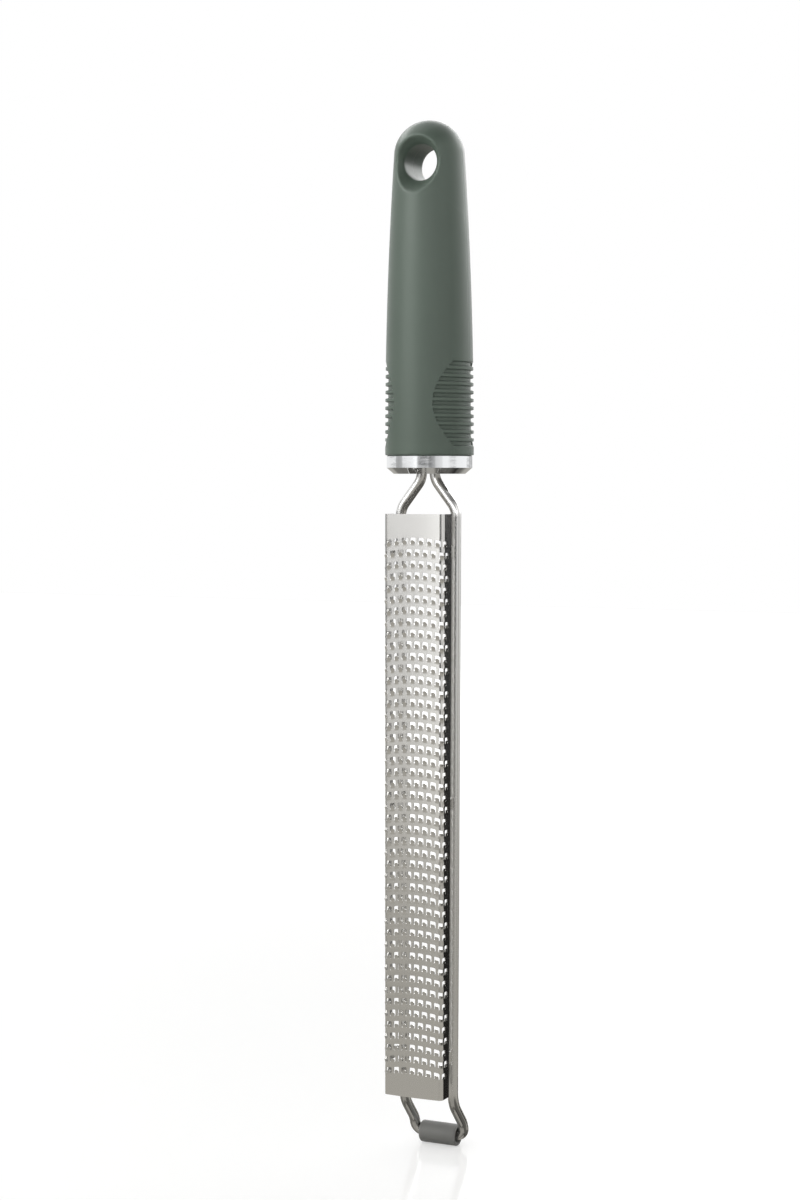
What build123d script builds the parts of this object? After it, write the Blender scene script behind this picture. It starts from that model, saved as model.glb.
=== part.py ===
# A rasp zester that hangs by the hole in its handle. Millimetres.
# The origin is the centre of the hanging hole. +Z runs up the tool to the round end of the handle,
# the teeth face -Y, and X lies across the blade. The foot leans back, towards +Y.
import os
from math import asin, cos, degrees, radians, sin, sqrt, tan

from build123d import *

# Handle: a soft grip moulded over a rigid core
GRIP_LENGTH = 111.0
GRIP_RADIUS = 14.7
GRIP_STRAIGHT = 6.0
DOME_RADIUS = 11.75
GRIP_WALL = 2.3

# Hanging hole, with a funnel on both faces
HOLE_DROP = 14.6
HOLE_RADIUS = 6.0
THROAT_LENGTH = 14.4
FUNNEL_ANGLE = 38.0
HOLE_LINING = 1.6

# Rigid core: a flat tongue round the hole, a spigot in the collar
TONGUE_THICKNESS = 9.2
TONGUE_SHOULDER = 4.0
SPIGOT_CLEARANCE = 0.05

# Ribbed thumb pads on both sides of the grip
RIB_PITCH = 2.62
GROOVE_COUNT = 11
GROOVE_HEIGHT = 1.35
GROOVE_DEPTH = 0.95
PAD_RISE = 16.9
PAD_HALF_WIDTH = 12.8
PAD_HALF_HEIGHT = 17.5

# Chromed collar that closes the lower end of the handle
COLLAR_RADIUS = 14.2
COLLAR_BAND = 4.2
COLLAR_BEVEL_HEIGHT = 1.95
COLLAR_BEVEL_WIDTH = 2.3
COLLAR_WALL = 1.3
COLLAR_FLOOR = 1.4
COLLAR_EDGE = 0.35
WIRE_HOLE_CLEARANCE = 0.1

# Wire: a hairpin that hangs from the handle, and the loop of the same rod that closes it at the foot
WIRE_RADIUS = 1.75
WIRE_OFFSET = 0.9
TANG_LENGTH = 60.0
TANG_HALF_SPACING = 2.35
LEG_HALF_SPACING = 10.1
FOOT_HALF_SPACING = 8.85
NECK_RISE = 0.6
NECK_ANGLE = 38.0
NECK_BEND_RADIUS = 6.8
FOOT_RISE = 0.2
FOOT_ANGLE = 43.0
FOOT_BEND_RADIUS = 10.0
KNEE_SETBACK = 7.8
KNEE_ANGLE = 20.0
KNEE_BEND_RADIUS = 8.0
FOOT_SETBACK = 9.6
LOOP_BEND_RADIUS = 3.1

# Blade: a crowned strip with both long edges folded back
BLADE_LENGTH = 190.6
BLADE_WIDTH = 20.8
BLADE_STANDOFF = 12.8
BLADE_SHEET = 0.5
BLADE_FLANGE = 7.2
FLANGE_TAPER = 1.2
BLADE_CROWN_RADIUS = 130.0
BLADE_FOLD_RADIUS = 1.3
BLADE_GAP = 13.2

# Weld lugs that reach from the folded edges to the wire
LUG_COUNT = 3
LUG_WIDTH = 4.5
LUG_MARGIN = 10.2
LUG_BITE = 0.6

# Teeth: rows on arcs, every second row shifted by half a pitch
ROW_COUNT = 47
ROW_MARGIN = 8.7
ROW_ARC_RADIUS = 48.0
TEETH_PER_SIDE = 5
TOOTH_PITCH = 2.95
HOLE_WIDTH = 2.1
HOLE_HEIGHT = 2.1
TOOTH_WIDTH = 1.25
TOOTH_RISE = 0.62
TOOTH_EDGE = 0.2
TOOTH_TOP_SHARE = 0.16
TOOTH_ROOT = 0.15

# Foot sleeve on the crossbar of the wire
SLEEVE_RADIUS = 3.55
SLEEVE_CLEARANCE = 0.45
SLEEVE_OVERLAP = 0.9
SLEEVE_EDGE = 0.6

grip_top = HOLE_DROP
grip_base = grip_top - GRIP_LENGTH
collar_base = grip_base - COLLAR_BAND - COLLAR_BEVEL_HEIGHT
spigot_radius = COLLAR_RADIUS - COLLAR_WALL - SPIGOT_CLEARANCE
spigot_base = collar_base + COLLAR_FLOOR
blade_top = collar_base - BLADE_GAP
blade_base = blade_top - BLADE_LENGTH
blade_front = -BLADE_STANDOFF
flange_back = blade_front + BLADE_FLANGE
tang_bend_radius = (TANG_HALF_SPACING + WIRE_RADIUS) / 2
neck_corner = collar_base + NECK_RISE - NECK_BEND_RADIUS * tan(radians(NECK_ANGLE / 2))
leg_top = neck_corner - (LEG_HALF_SPACING - TANG_HALF_SPACING) / tan(radians(NECK_ANGLE))
wire_seam = blade_base + LUG_MARGIN / 2
foot_corner = blade_base + FOOT_RISE - FOOT_BEND_RADIUS * tan(radians(FOOT_ANGLE / 2))
knee_corner = foot_corner - KNEE_SETBACK / tan(radians(FOOT_ANGLE))
foot_axis = knee_corner - (FOOT_SETBACK - KNEE_SETBACK) / tan(radians(KNEE_ANGLE))
foot_depth = FOOT_SETBACK - WIRE_OFFSET
sleeve_length = 2 * (FOOT_HALF_SPACING - LOOP_BEND_RADIUS + SLEEVE_OVERLAP)
row_pitch = (BLADE_LENGTH - 2 * ROW_MARGIN) / (ROW_COUNT - 1)


def handle_body(inset, base):
    """The turned handle, drawn in by an inset all over, from its dome down to a base."""
    dome = DOME_RADIUS - inset
    radius = GRIP_RADIUS - inset
    flank = GRIP_LENGTH - GRIP_STRAIGHT - inset
    sweep_radius = (radius**2 + (flank - dome) ** 2 - dome**2) / (2 * (radius - dome))
    dome_centre = grip_top - DOME_RADIUS
    flank_base = grip_base + GRIP_STRAIGHT
    lean = asin((dome_centre - flank_base) / (sweep_radius - dome))
    meet = (dome * cos(lean), dome_centre + dome * sin(lean))
    crown = (dome * cos((radians(90) + lean) / 2), dome_centre + dome * sin((radians(90) + lean) / 2))
    middle = (
        radius - sweep_radius * (1 - cos(lean / 2)),
        flank_base + sweep_radius * sin(lean / 2),
    )
    outline = (
        ThreePointArc((0, grip_top - inset), crown, meet)
        + ThreePointArc(meet, middle, (radius, flank_base))
        + Polyline((radius, flank_base), (radius, base), (0, base), (0, grip_top - inset))
    )
    return revolve(Plane.XZ * make_face(outline), Axis.Z)


def across_y(radius, length):
    """A round bar along Y through the origin."""
    return Rot(90, 0, 0) * Cylinder(radius, length)


def core_body():
    """The rigid core without its wire holes: turned, flattened to a tongue round the hanging hole."""
    body = handle_body(GRIP_WALL, grip_base)
    shoulder = -(HOLE_RADIUS + HOLE_LINING + TONGUE_SHOULDER)
    height = grip_top - shoulder
    for side in (-1, 1):
        middle = side * (TONGUE_THICKNESS / 2 + GRIP_RADIUS)
        body -= Pos(0, middle, shoulder + height / 2) * Box(2 * GRIP_RADIUS, 2 * GRIP_RADIUS, height)
    return body - across_y(HOLE_RADIUS + HOLE_LINING, 2 * GRIP_RADIUS)


def funnel(side):
    """The countersink of the hanging hole on one face."""
    depth = GRIP_RADIUS - THROAT_LENGTH / 2
    mouth = HOLE_RADIUS + depth * tan(radians(FUNNEL_ANGLE))
    middle = side * (THROAT_LENGTH + depth) / 2
    return Pos(0, middle, 0) * Rot(-90 * side, 0, 0) * Cone(HOLE_RADIUS, mouth, depth)


def pad_grooves():
    """The grooves of the two ribbed pads, each pad an ellipse seen from its side."""
    centre = grip_base + PAD_RISE
    outline = Plane.YZ * Pos(0, centre) * Ellipse(PAD_HALF_WIDTH, PAD_HALF_HEIGHT)
    pad = extrude(outline, 2 * GRIP_RADIUS, both=True)
    reach = 4 * GRIP_RADIUS
    slots = []
    for index in range(GROOVE_COUNT):
        height = centre + (index - (GROOVE_COUNT - 1) / 2) * RIB_PITCH
        slots.append(Pos(0, 0, height) * Box(reach, reach, GROOVE_HEIGHT))
    floor = handle_body(GROOVE_DEPTH, grip_base)
    return [(pad & slot) - floor for slot in slots]


def make_grip(core):
    """The soft grip: the handle's skin, the lining of its hole and its ribbed pads."""
    grip = handle_body(0, grip_base) - core
    grip -= across_y(HOLE_RADIUS, 2 * GRIP_RADIUS)
    for side in (-1, 1):
        grip -= funnel(side)
    return grip - pad_grooves()


def make_collar():
    """The chromed cap: a band, a bevel under it and a floor that the wire passes through."""
    bottom = COLLAR_RADIUS - COLLAR_BEVEL_WIDTH
    band_base = grip_base - COLLAR_BAND
    cavity = COLLAR_RADIUS - COLLAR_WALL
    outline = Polyline(
        (0, collar_base),
        (bottom, collar_base),
        (COLLAR_RADIUS, band_base),
        (COLLAR_RADIUS, grip_base - COLLAR_EDGE),
        (COLLAR_RADIUS - COLLAR_EDGE, grip_base),
        (cavity, grip_base),
        (cavity, band_base),
        (bottom, spigot_base),
        (0, spigot_base),
        close=True,
    )
    collar = revolve(Plane.XZ * make_face(outline), Axis.Z)
    for side in (-1, 1):
        hole = Cylinder(WIRE_RADIUS + WIRE_HOLE_CLEARANCE, 2 * COLLAR_FLOOR)
        collar -= Pos(side * TANG_HALF_SPACING, -WIRE_OFFSET, collar_base + COLLAR_FLOOR / 2) * hole
    return collar


def make_core(body, wire):
    """The rigid core with its spigot, moulded round the tangs of the wire."""
    bottom = COLLAR_RADIUS - COLLAR_BEVEL_WIDTH - SPIGOT_CLEARANCE
    band_base = grip_base - COLLAR_BAND
    outline = Polyline(
        (0, grip_base),
        (spigot_radius, grip_base),
        (spigot_radius, band_base + SPIGOT_CLEARANCE),
        (bottom, spigot_base + SPIGOT_CLEARANCE),
        (0, spigot_base + SPIGOT_CLEARANCE),
        close=True,
    )
    spigot = revolve(Plane.XZ * make_face(outline), Axis.Z)
    return body + spigot - wire


def rod(points, bends):
    """A round rod along a line and its mirror image, with a bend at every inner corner."""
    other = [(-x, y, z) for x, y, z in reversed(points)]
    path = FilletPolyline(*points, *other, radius=bends + bends[::-1])
    return sweep(Plane(path @ 0, z_dir=path % 0) * Circle(WIRE_RADIUS), path=path)


def seam_point():
    """Where the loop at the foot is set on the leg, between the blade's end and its lowest lug."""
    share = (leg_top - wire_seam) / (leg_top - foot_corner)
    x = LEG_HALF_SPACING + (FOOT_HALF_SPACING - LEG_HALF_SPACING) * share
    return x, -WIRE_OFFSET, wire_seam


def make_wire():
    """The frame: a hairpin whose bend is anchored in the core, which spreads into two legs."""
    points = [
        seam_point(),
        (LEG_HALF_SPACING, -WIRE_OFFSET, leg_top),
        (TANG_HALF_SPACING, -WIRE_OFFSET, neck_corner),
        (TANG_HALF_SPACING, -WIRE_OFFSET, grip_base + TANG_LENGTH),
    ]
    return rod(points, [NECK_BEND_RADIUS, NECK_BEND_RADIUS, tang_bend_radius])


def make_foot_wire():
    """The loop that runs on from the legs, leans back and carries the sleeve on its crossbar."""
    points = [
        seam_point(),
        (FOOT_HALF_SPACING, -WIRE_OFFSET, foot_corner),
        (FOOT_HALF_SPACING, KNEE_SETBACK - WIRE_OFFSET, knee_corner),
        (FOOT_HALF_SPACING, foot_depth, foot_axis),
    ]
    return rod(points, [FOOT_BEND_RADIUS, KNEE_BEND_RADIUS, LOOP_BEND_RADIUS])


def channel(width, front, crown, fold):
    """A channel section: a crowned front, rounded into two sides."""
    depth = flange_back - front
    block = Pos(0, front + depth / 2) * Rectangle(width, depth)
    section = block & Pos(0, front + crown) * Circle(crown)
    return fillet(section.vertices().sort_by(Axis.Y)[:2], fold)


def on_blade(distance):
    """Where a distance round the outer face of the blade lies, and which way it faces there."""
    side = 1 if distance > 0 else -1
    reach = abs(distance)
    half = BLADE_WIDTH / 2
    crown_angle = asin((half - BLADE_FOLD_RADIUS) / (BLADE_CROWN_RADIUS - BLADE_FOLD_RADIUS))
    crown_reach = crown_angle * BLADE_CROWN_RADIUS
    fold_reach = (radians(90) - crown_angle) * BLADE_FOLD_RADIUS
    crown_centre = blade_front + BLADE_CROWN_RADIUS
    fold_depth = crown_centre - (BLADE_CROWN_RADIUS - BLADE_FOLD_RADIUS) * cos(crown_angle)
    if reach <= crown_reach:
        angle = reach / BLADE_CROWN_RADIUS
        spot = (BLADE_CROWN_RADIUS * sin(angle), crown_centre - BLADE_CROWN_RADIUS * cos(angle))
    elif reach <= crown_reach + fold_reach:
        angle = crown_angle + (reach - crown_reach) / BLADE_FOLD_RADIUS
        spot = (
            half - BLADE_FOLD_RADIUS * (1 - sin(angle)),
            fold_depth - BLADE_FOLD_RADIUS * cos(angle),
        )
    else:
        angle = radians(90)
        spot = (half, fold_depth + reach - crown_reach - fold_reach)
    return side * spot[0], spot[1], side * degrees(angle)


def bow(x):
    """How far a row of teeth lies below its own crest, at a place across the blade."""
    return ROW_ARC_RADIUS - sqrt(ROW_ARC_RADIUS**2 - x**2)


def crest(row):
    """The height of a row's crest, counted down from the first row."""
    return blade_top - ROW_MARGIN - row * row_pitch


def tooth_places(row):
    """The places of one row's teeth. Odd rows are shifted by half a pitch."""
    shift = row % 2 * TOOTH_PITCH / 2
    reaches = [shift + step * TOOTH_PITCH for step in range(TEETH_PER_SIDE)]
    places = []
    for reach in sorted({side * value for value in reaches for side in (-1, 1)}):
        x, y, turn = on_blade(reach)
        places.append(Pos(x, y, crest(row) - bow(x)) * Rot(0, 0, turn))
    return places


def tooth():
    """One cutting tooth: an arched tab that rises out of the lower edge of its hole, free at the top."""
    root = -HOLE_HEIGHT / 2 - TOOTH_ROOT
    tip = HOLE_HEIGHT * TOOTH_TOP_SHARE
    side_outline = Polyline(
        (0, root),
        (BLADE_SHEET, root),
        (TOOTH_EDGE - TOOTH_RISE, tip),
        (-TOOTH_RISE, tip),
        close=True,
    )
    shoulder = tip - TOOTH_WIDTH / 2
    front = Pos(0, shoulder) * Circle(TOOTH_WIDTH / 2)
    front += Pos(0, (shoulder + root) / 2) * Rectangle(TOOTH_WIDTH, shoulder - root)
    tab = extrude(Plane.YZ * make_face(side_outline), TOOTH_WIDTH / 2, both=True)
    return tab & extrude(Plane.XZ * front, 2 * BLADE_SHEET, both=True)


def row_band(top, height):
    """The space between two lines that are bowed like the rows, right through the blade."""
    reach = BLADE_WIDTH
    upper = [(-reach, top - bow(reach)), (0, top), (reach, top - bow(reach))]
    lower = [(x, z - height) for x, z in reversed(upper)]
    outline = (
        ThreePointArc(*upper)
        + Line(upper[-1], lower[0])
        + ThreePointArc(*lower)
        + Line(lower[-1], upper[0])
    )
    return extrude(Plane.XZ * make_face(outline), 2 * BLADE_STANDOFF, both=True)


def row_slice(strip, row):
    """The slice of the blade that holds one row of holes and teeth."""
    piece = strip & row_band(crest(row) + row_pitch / 2, row_pitch)
    hole = Pos(0, BLADE_SHEET / 2, 0) * Box(HOLE_WIDTH, 2 * BLADE_SHEET, HOLE_HEIGHT)
    piece -= [place * hole for place in tooth_places(row)]
    return piece + [place * tooth() for place in tooth_places(row)]


def make_lugs():
    """The lugs that reach back from the folded edges to the front of the wire."""
    front = flange_back - 2 * FLANGE_TAPER
    depth = LUG_BITE - WIRE_RADIUS - WIRE_OFFSET - front
    first = blade_base + LUG_MARGIN + LUG_WIDTH / 2
    step = (BLADE_LENGTH - 2 * LUG_MARGIN - LUG_WIDTH) / (LUG_COUNT - 1)
    across = (BLADE_WIDTH - BLADE_SHEET) / 2
    lug = Pos(0, front + depth / 2, first) * Box(BLADE_SHEET, depth, LUG_WIDTH)
    return [Pos(x, 0, index * step) * lug for index in range(LUG_COUNT) for x in (-across, across)]


def flange_cut():
    """What the folded edges lose at the back, more and more towards the foot."""
    clear = flange_back + BLADE_FLANGE
    outline = Polyline(
        (flange_back, blade_top),
        (flange_back - FLANGE_TAPER, blade_base),
        (clear, blade_base),
        (clear, blade_top),
        close=True,
    )
    return extrude(Plane.YZ * make_face(outline), BLADE_WIDTH, both=True)


def make_blade(wire):
    """The blade: a folded strip in slices, one to a row of teeth, with lugs that seat on the wire."""
    outer = channel(BLADE_WIDTH, blade_front, BLADE_CROWN_RADIUS, BLADE_FOLD_RADIUS)
    inner = channel(
        BLADE_WIDTH - 2 * BLADE_SHEET,
        blade_front + BLADE_SHEET,
        BLADE_CROWN_RADIUS - BLADE_SHEET,
        BLADE_FOLD_RADIUS - BLADE_SHEET,
    )
    strip = extrude(Plane.XY.offset(blade_base) * (outer - inner), BLADE_LENGTH)
    plain_ends = strip - row_band(crest(0) + row_pitch / 2, ROW_COUNT * row_pitch)
    pair = [row_slice(strip, 0), row_slice(strip, 1)]
    slices = [Pos(0, 0, (row % 2 - row) * row_pitch) * pair[row % 2] for row in range(ROW_COUNT)]
    lugs = [lug - wire for lug in make_lugs()]
    return plain_ends + slices - flange_cut() + lugs


def make_sleeve():
    """The soft foot: a tube that turns on the crossbar of the wire."""
    sleeve = fillet(Cylinder(SLEEVE_RADIUS, sleeve_length).edges(), SLEEVE_EDGE)
    sleeve -= Cylinder(WIRE_RADIUS + SLEEVE_CLEARANCE, 2 * sleeve_length)
    return Pos(0, foot_depth, foot_axis) * Rot(0, 90, 0) * sleeve


def main():
    """Builds every piece and writes it to its own file."""
    wire = make_wire()
    body = core_body()
    pieces = {
        "grip": make_grip(body),
        "handle_core": make_core(body, wire),
        "collar": make_collar(),
        "wire_frame": wire,
        "foot_wire": make_foot_wire(),
        "blade": make_blade(wire),
        "foot_sleeve": make_sleeve(),
    }
    os.makedirs("parts", exist_ok=True)
    for name, piece in pieces.items():
        piece.label = name
        export_step(piece, f"parts/{name}.step")


main()
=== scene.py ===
"""A rasp zester on a pale studio floor, dressed round its CAD frame. Lengths are metres."""

import logging
import math
from collections.abc import Callable
from dataclasses import dataclass, field
from enum import Enum

import bmesh
import bpy
from bpy.types import Material, Node, NodeSocket, NodeTree, Object
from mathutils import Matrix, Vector


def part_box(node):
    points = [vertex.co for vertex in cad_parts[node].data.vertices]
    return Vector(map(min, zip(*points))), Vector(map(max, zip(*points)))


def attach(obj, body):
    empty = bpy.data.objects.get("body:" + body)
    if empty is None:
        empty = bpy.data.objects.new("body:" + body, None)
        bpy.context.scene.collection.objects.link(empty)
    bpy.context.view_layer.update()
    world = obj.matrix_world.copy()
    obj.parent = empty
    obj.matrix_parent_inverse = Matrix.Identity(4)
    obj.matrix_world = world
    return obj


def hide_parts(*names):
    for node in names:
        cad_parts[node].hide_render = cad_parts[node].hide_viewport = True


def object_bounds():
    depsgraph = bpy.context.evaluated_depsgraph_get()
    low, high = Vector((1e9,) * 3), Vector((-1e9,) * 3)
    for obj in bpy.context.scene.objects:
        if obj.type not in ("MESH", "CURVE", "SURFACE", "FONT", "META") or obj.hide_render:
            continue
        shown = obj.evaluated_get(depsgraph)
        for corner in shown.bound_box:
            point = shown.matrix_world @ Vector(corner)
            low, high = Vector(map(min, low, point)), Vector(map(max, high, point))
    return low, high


log = logging.getLogger("zester")

MM = 0.001
QUARTER = math.pi / 2
HALVINGS = 50

Color = tuple[float, float, float]
Face = tuple[int, ...]
Sheet = tuple[list[Vector], list[Face]]
Stops = tuple[tuple[float, float], ...]

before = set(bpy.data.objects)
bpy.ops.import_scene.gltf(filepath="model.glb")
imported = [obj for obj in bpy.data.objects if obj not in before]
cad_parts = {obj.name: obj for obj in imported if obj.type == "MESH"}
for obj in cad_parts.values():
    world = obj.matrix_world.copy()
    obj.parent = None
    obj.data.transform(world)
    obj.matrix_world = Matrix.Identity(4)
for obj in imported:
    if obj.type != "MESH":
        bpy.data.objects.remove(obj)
cad_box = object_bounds()


class Body(Enum):
    """The two bodies that pieces ride on."""

    TOOL = "tool"
    FOOT = "foot"


class Slot(Enum):
    """The record's material slots."""

    GRIP = "soft_grip"
    CORE = "core_plastic"
    COLLAR = "collar_chrome"
    WIRE = "wire_steel"
    BLADE = "blade_steel"
    SLEEVE = "sleeve_rubber"


@dataclass(frozen=True)
class Formula:
    """A socket of a node tree that arithmetic can be written with."""

    tree: NodeTree
    socket: NodeSocket

    def math(self, operation: str, *others: "Formula | float") -> "Formula":
        """Adds a Math node that starts from this value.

        Args:
            operation: the Math node's operation.
            others: the node's further inputs.

        Returns:
            The node's result.
        """
        node = self.tree.nodes.new("ShaderNodeMath")
        node.operation = operation
        for place, value in enumerate((self, *others)):
            feed(self.tree, node.inputs[place], value)
        return Formula(self.tree, node.outputs[0])

    def __add__(self, other: "Formula | float") -> "Formula":
        """This value plus another."""
        return self.math("ADD", other)

    def __sub__(self, other: "Formula | float") -> "Formula":
        """This value less another."""
        return self.math("SUBTRACT", other)

    def __rsub__(self, other: float) -> "Formula":
        """Another value less this one."""
        return (self * -1.0) + other

    def __mul__(self, other: "Formula | float") -> "Formula":
        """This value times another."""
        return self.math("MULTIPLY", other)

    def __truediv__(self, other: "Formula | float") -> "Formula":
        """This value divided by another."""
        return self.math("DIVIDE", other)

    def sin(self) -> "Formula":
        """The sine of this angle."""
        return self.math("SINE")

    def cos(self) -> "Formula":
        """The cosine of this angle."""
        return self.math("COSINE")

    def size(self) -> "Formula":
        """This value without its sign."""
        return self.math("ABSOLUTE")

    def at_most(self, other: "Formula | float") -> "Formula":
        """The smaller of this value and another."""
        return self.math("MINIMUM", other)

    def at_least(self, other: "Formula | float") -> "Formula":
        """The larger of this value and another."""
        return self.math("MAXIMUM", other)

    def ramp(self, low: "Formula | float", high: "Formula | float") -> "Formula":
        """A smooth step.

        Args:
            low: the value at which the result is 0.
            high: the value at which the result is 1.

        Returns:
            The smoothed share between the two.
        """
        node = self.tree.nodes.new("ShaderNodeMapRange")
        node.interpolation_type = "SMOOTHSTEP"
        for name, value in (("Value", self), ("From Min", low), ("From Max", high)):
            feed(self.tree, node.inputs[name], value)
        return Formula(self.tree, node.outputs["Result"])


def feed(tree: NodeTree, socket: NodeSocket, value: object) -> None:
    """Links a formula or socket to an input, or sets a plain value on it.

    Args:
        tree: the node tree.
        socket: the input socket.
        value: a Formula, an output socket or a plain value.
    """
    if isinstance(value, Formula):
        tree.links.new(value.socket, socket)
    elif isinstance(value, NodeSocket):
        tree.links.new(value, socket)
    else:
        socket.default_value = value


def along_stops(value: Formula, stops: Stops) -> Formula:
    """A brightness that changes evenly from stop to stop.

    Args:
        value: what the brightness follows.
        stops: a value and its brightness each, in rising order.

    Returns:
        The brightness.
    """
    first, last = stops[0][0], stops[-1][0]
    top = max(level for _, level in stops)
    node = value.tree.nodes.new("ShaderNodeValToRGB")
    feed(value.tree, node.inputs["Fac"], (value - first) / (last - first))
    elements = node.color_ramp.elements
    for place, _ in stops[1:-1]:
        elements.new((place - first) / (last - first))
    for element, (_, level) in zip(elements, stops):
        element.color = (level / top, level / top, level / top, 1)
    return Formula(value.tree, node.outputs["Color"]) * top


def add_node(tree: NodeTree, kind: str, **inputs: object) -> Node:
    """Adds a node and feeds its inputs.

    Args:
        tree: the node tree.
        kind: the node's type.
        inputs: input names, with spaces written as underscores, and their values.

    Returns:
        The new node.
    """
    node = tree.nodes.new(kind)
    for name, value in inputs.items():
        feed(tree, node.inputs[name.replace("_", " ")], value)
    return node


def parts(tree: NodeTree, vector: NodeSocket) -> tuple[Formula, ...]:
    """The X, Y and Z of a vector socket."""
    node = add_node(tree, "ShaderNodeSeparateXYZ", Vector=vector)
    return tuple(Formula(tree, socket) for socket in node.outputs)


def coordinates(tree: NodeTree, output: str) -> tuple[Formula, ...]:
    """The X, Y and Z of one output of the Texture Coordinate node."""
    return parts(tree, add_node(tree, "ShaderNodeTexCoord").outputs[output])


def color_between(tree: NodeTree, share: Formula, first: Color, second: Color) -> NodeSocket:
    """A colour on the way from one to another.

    Args:
        tree: the node tree.
        share: how far along it is, 0 to 1.
        first: the colour at 0.
        second: the colour at 1.

    Returns:
        The socket that holds the colour.
    """
    mix = add_node(tree, "ShaderNodeMix", Factor=share)
    mix.data_type = "RGBA"
    for place, color in ((6, first), (7, second)):
        mix.inputs[place].default_value = (*color, 1)
    return mix.outputs[2]


# Finishes


@dataclass(frozen=True)
class Finish:
    """What every finish of the tool shares: a Principled surface over procedural detail.

    Attributes:
        name: the material's name.
        color: the surface colour, linear.
        roughness: the middle roughness.
        metallic: 1 for bare metal, else 0.
        fineness: how many finer layers each noise has.
    """

    name: str
    color: Color
    roughness: float
    metallic: float = 0.0
    fineness: float = 3.0

    def make(self) -> Material:
        """Builds the material.

        Returns:
            The finished material.
        """
        material = bpy.data.materials.new(self.name)
        material.use_nodes = True
        tree = material.node_tree
        surface = tree.nodes["Principled BSDF"]
        surface.inputs["Base Color"].default_value = (*self.color, 1)
        surface.inputs["Roughness"].default_value = self.roughness
        surface.inputs["Metallic"].default_value = self.metallic
        self.detail(tree, surface)
        return material

    def detail(self, tree: NodeTree, surface: Node) -> None:
        """Adds this finish's own detail to its tree; the plain finish has none."""

    def noise(self, tree: NodeTree, scale: float,
              stretch: tuple[float, float, float] = (1.0, 1.0, 1.0)) -> Formula:
        """A noise on Object coordinates.

        Args:
            tree: the material's node tree.
            scale: how many features lie on a metre.
            stretch: the scale of each axis, larger for finer.

        Returns:
            The noise, about 0.5 in the middle.
        """
        place = add_node(tree, "ShaderNodeTexCoord").outputs["Object"]
        mapping = add_node(tree, "ShaderNodeMapping", Vector=place, Scale=stretch)
        grain = add_node(tree, "ShaderNodeTexNoise", Vector=mapping.outputs["Vector"], Scale=scale,
                         Detail=self.fineness)
        return Formula(tree, grain.outputs["Fac"])

    def tint(self, tree: NodeTree, surface: Node, share: Formula, swing: float) -> None:
        """Lets the colour swing a little about its middle.

        Args:
            tree: the material's node tree.
            surface: its Principled node.
            share: the pattern, 0 to 1.
            swing: the greatest change of brightness, as a share.
        """
        ends = (tuple(part * (1 + side * swing) for part in self.color) for side in (-1, 1))
        tree.links.new(color_between(tree, share, *ends), surface.inputs["Base Color"])

    def bump(self, tree: NodeTree, surface: Node, height: Formula, depth: float) -> None:
        """Adds a fine relief that follows a pattern, its depth in metres."""
        relief = add_node(tree, "ShaderNodeBump", Height=height, Distance=depth)
        tree.links.new(relief.outputs["Normal"], surface.inputs["Normal"])


@dataclass(frozen=True)
class SoftGrip(Finish):
    """Soft-touch rubber: a fine spark-eroded grain, a faint dusty sheen and the mould's parting line."""

    cloud_scale: float = 45.0
    cloud_swing: float = 0.035
    cloud_span: tuple[float, float] = (0.3, 0.7)
    gloss_swing: float = 0.08
    grain_scale: float = 3200.0
    grain_depth: float = 0.012 * MM
    line_width: float = 0.22 * MM
    line_depth: float = 5.0
    sheen: float = 0.15
    sheen_roughness: float = 0.4

    def detail(self, tree: NodeTree, surface: Node) -> None:
        """Grain, parting line, cloudy colour and sheen.

        Args:
            tree: the material's node tree.
            surface: its Principled node.
        """
        cloud = self.noise(tree, self.cloud_scale)
        grain = self.noise(tree, self.grain_scale)
        line = coordinates(tree, "Object")[1].size().ramp(self.line_width, 0.0)
        self.tint(tree, surface, cloud.ramp(*self.cloud_span), self.cloud_swing)
        feed(tree, surface.inputs["Roughness"], (cloud - 0.5) * self.gloss_swing + self.roughness)
        self.bump(tree, surface, grain - line * self.line_depth, self.grain_depth)
        surface.inputs["Sheen Weight"].default_value = self.sheen
        surface.inputs["Sheen Roughness"].default_value = self.sheen_roughness


@dataclass(frozen=True)
class MouldedPlastic(Finish):
    """Plain moulded plastic with a light mould texture."""

    tone_scale: float = 120.0
    tone_swing: float = 0.06
    grain_scale: float = 2400.0
    grain_depth: float = 0.01 * MM

    def detail(self, tree: NodeTree, surface: Node) -> None:
        """Mould texture and a slight change of tone."""
        self.tint(tree, surface, self.noise(tree, self.tone_scale), self.tone_swing)
        self.bump(tree, surface, self.noise(tree, self.grain_scale), self.grain_depth)


@dataclass(frozen=True)
class PolishedChrome(Finish):
    """Polished plating with faint wiping marks round the cap."""

    mark_scale: float = 160.0
    mark_stretch: tuple[float, float, float] = (1.0, 1.0, 6.0)
    mark_span: tuple[float, float] = (0.35, 0.75)
    gloss_swing: float = 0.06

    def detail(self, tree: NodeTree, surface: Node) -> None:
        """Wiping marks in the gloss."""
        marks = self.noise(tree, self.mark_scale, self.mark_stretch).ramp(*self.mark_span)
        feed(tree, surface.inputs["Roughness"], marks * self.gloss_swing + self.roughness)


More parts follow.
